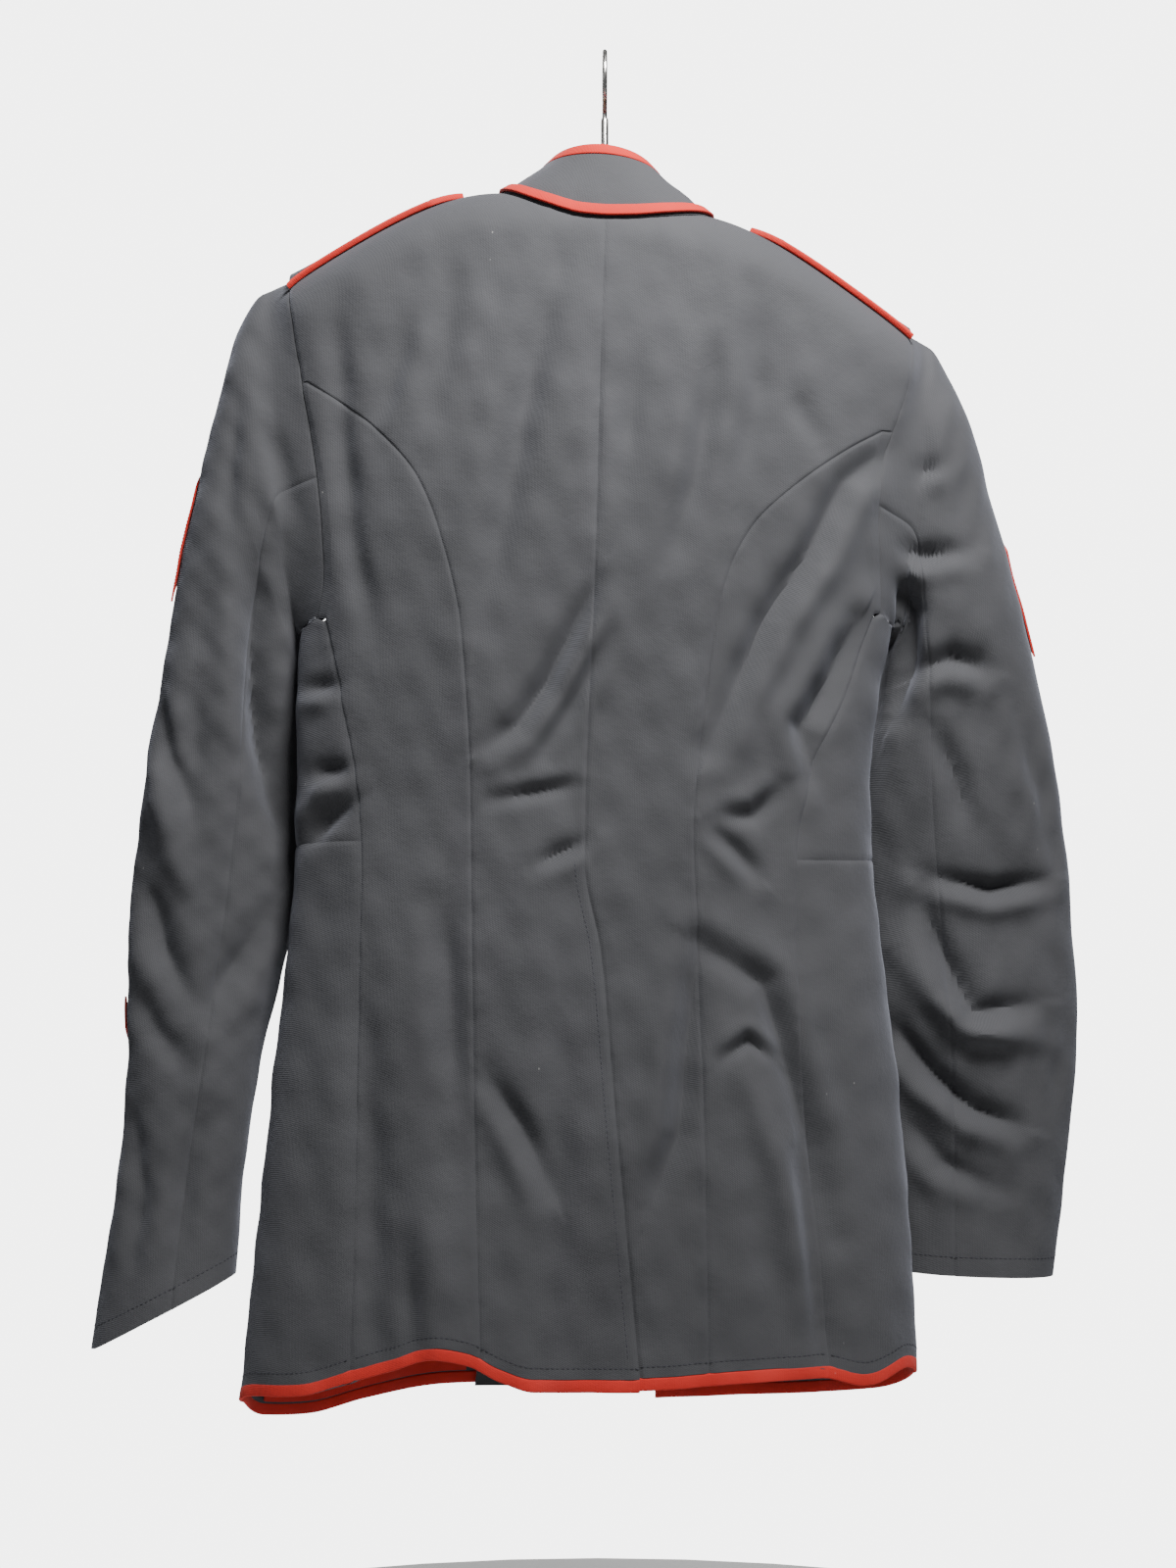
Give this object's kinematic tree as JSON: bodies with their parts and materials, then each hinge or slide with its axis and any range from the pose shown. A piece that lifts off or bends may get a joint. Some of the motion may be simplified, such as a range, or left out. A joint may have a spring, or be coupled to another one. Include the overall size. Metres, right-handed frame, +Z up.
{
  "type": "dress blues coat on a hanger with a wire hook",
  "caption": "Dark blue dress coat with a standing collar, curved back seams, a back vent and scarlet piping, hung on a wooden hanger by its wire hook.",
  "frame": {"origin": "inside top of the hanger's wire hook, where the rail it hangs on touches it", "axes": "+Z up, +Y out of the coat's back, -Y out of its front, +X to the wearer's left"},
  "size_m": [0.6349, 0.148, 0.8937],
  "materials": {
    "cloth_navy": "matt wool twill, midnight blue",
    "piping_scarlet": "matt scarlet wool",
    "button_brass": "polished plain dome",
    "hook_steel": "bright plated wire",
    "hanger_wood": "satin varnish"
  },
  "bodies": {
    "root": {"back_centre_left": "cloth_navy", "back_centre_right": "cloth_navy", "chevron_patch_left": "piping_scarlet", "chevron_patch_right": "piping_scarlet", "collar": "cloth_navy", "collar_piping_lower": "piping_scarlet", "collar_piping_upper": "piping_scarlet", "front_button_1": "button_brass", "front_button_2": "button_brass", "front_button_3": "button_brass", "front_button_4": "button_brass", "front_button_5": "button_brass", "front_button_6": "button_brass", "front_button_7": "button_brass", "front_left": "cloth_navy", "front_right": "cloth_navy", "front_skirt_left": "cloth_navy", "front_skirt_right": "cloth_navy", "hanger_bar": "hanger_wood", "hanger_ferrule": "hook_steel", "hanger_hook": "hook_steel", "hem_facing_left": "piping_scarlet", "hem_piping_back_left": "piping_scarlet", "hem_piping_back_right": "piping_scarlet", "hem_piping_front_left": "piping_scarlet", "hem_piping_front_right": "piping_scarlet", "shoulder_strap_left": "cloth_navy", "shoulder_strap_right": "cloth_navy", "side_back_left": "cloth_navy", "side_back_right": "cloth_navy", "sleeve_stripe_left": "piping_scarlet", "strap_button_left": "button_brass", "strap_button_right": "button_brass", "strap_piping_left": "piping_scarlet", "strap_piping_right": "piping_scarlet", "top_sleeve_left": "cloth_navy", "top_sleeve_right": "cloth_navy", "under_sleeve_left": "cloth_navy", "under_sleeve_right": "cloth_navy", "vent_underlap": "cloth_navy"}
  },
  "joints": []
}
